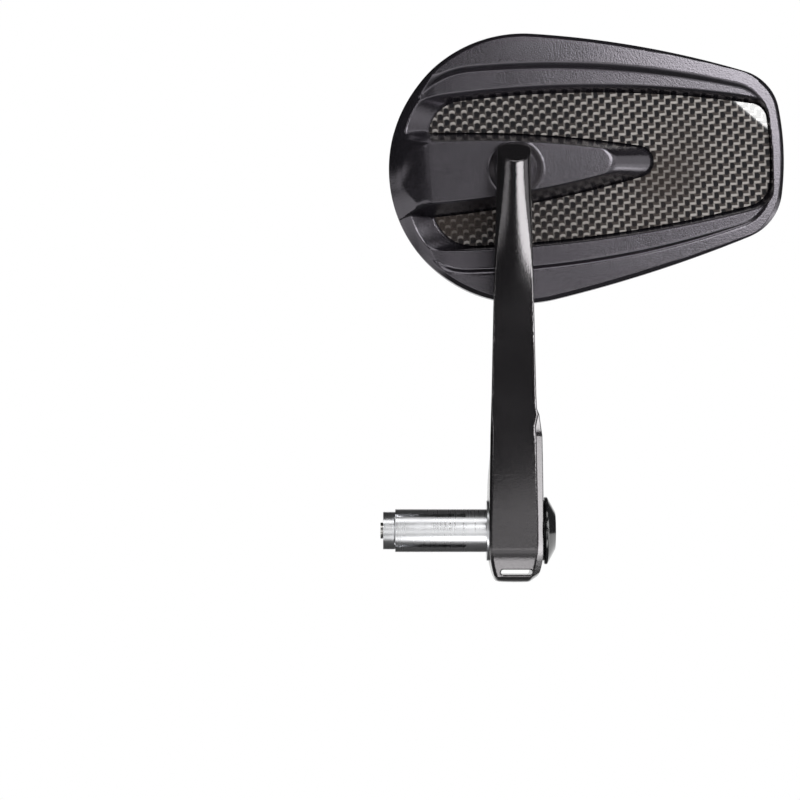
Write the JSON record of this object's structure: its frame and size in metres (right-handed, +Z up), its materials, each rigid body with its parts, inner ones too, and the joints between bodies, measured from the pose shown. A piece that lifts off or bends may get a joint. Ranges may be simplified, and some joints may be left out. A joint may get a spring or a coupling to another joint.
{
  "type": "motorcycle bar end mirror",
  "caption": "Bar end mirror with a tapered oval head, stepped black back, carbon fibre inlay, ball joint and a black arm that clamps into the end of a handlebar tube.",
  "frame": {"origin": "on the handlebar's axis, at the end face of its tube, where the adapter's flange stops", "axes": "+X outwards along the handlebar, +Z up the arm, -Y forwards, the way the back of the mirror faces"},
  "size_m": [0.1555, 0.0561, 0.2111],
  "materials": {
    "satin_black": "satin",
    "gloss_black": "gloss",
    "carbon": "gloss",
    "mirror": "polished",
    "steel": "satin",
    "bare_alloy": "satin",
    "nylon": "matte",
    "foam": "matte"
  },
  "bodies": {
    "bar_end": {"bar_adapter": "bare_alloy", "expander_sleeve": "bare_alloy", "expander_cone_nut": "steel", "expander_bolt": "steel", "spring_washer": "steel", "end_cap": "gloss_black", "inner_thrust_washer": "nylon", "outer_thrust_washer": "nylon"},
    "arm": {"arm": "satin_black", "ball_stud": "steel"},
    "liner": {"ball_liner": "nylon"},
    "seat": {"ball_rear_seat": "nylon", "seat_spring": "steel"},
    "head": {"mirror_housing": "satin_black", "inlay_tape": "foam", "carbon_inlay": "carbon", "clamp_plate": "steel", "clamp_screws": "steel", "glass_pad": "foam", "mirror_glass": "mirror"}
  },
  "joints": [
    {"name": "arm_swing", "type": "hinge", "parent": "bar_end", "child": "arm", "pos_m": [0.0107, 0, 0], "axis": [1, 0, 0], "continuous": true},
    {"name": "head_tilt", "type": "hinge", "parent": "arm", "child": "liner", "pos_m": [0.01142, 0.0273, 0.1395], "axis": [1, 0, 0], "range_deg": [-16, 18]},
    {"name": "head_pan", "type": "hinge", "parent": "liner", "child": "seat", "pos_m": [0.01142, 0.0273, 0.1395], "axis": [0, -0.0349, 0.9994], "range_deg": [-18, 18]},
    {"name": "head_roll", "type": "hinge", "parent": "seat", "child": "head", "pos_m": [0.01142, 0.0273, 0.1395], "axis": [0, -0.9994, -0.0349], "range_deg": [-15, 15]}
  ]
}
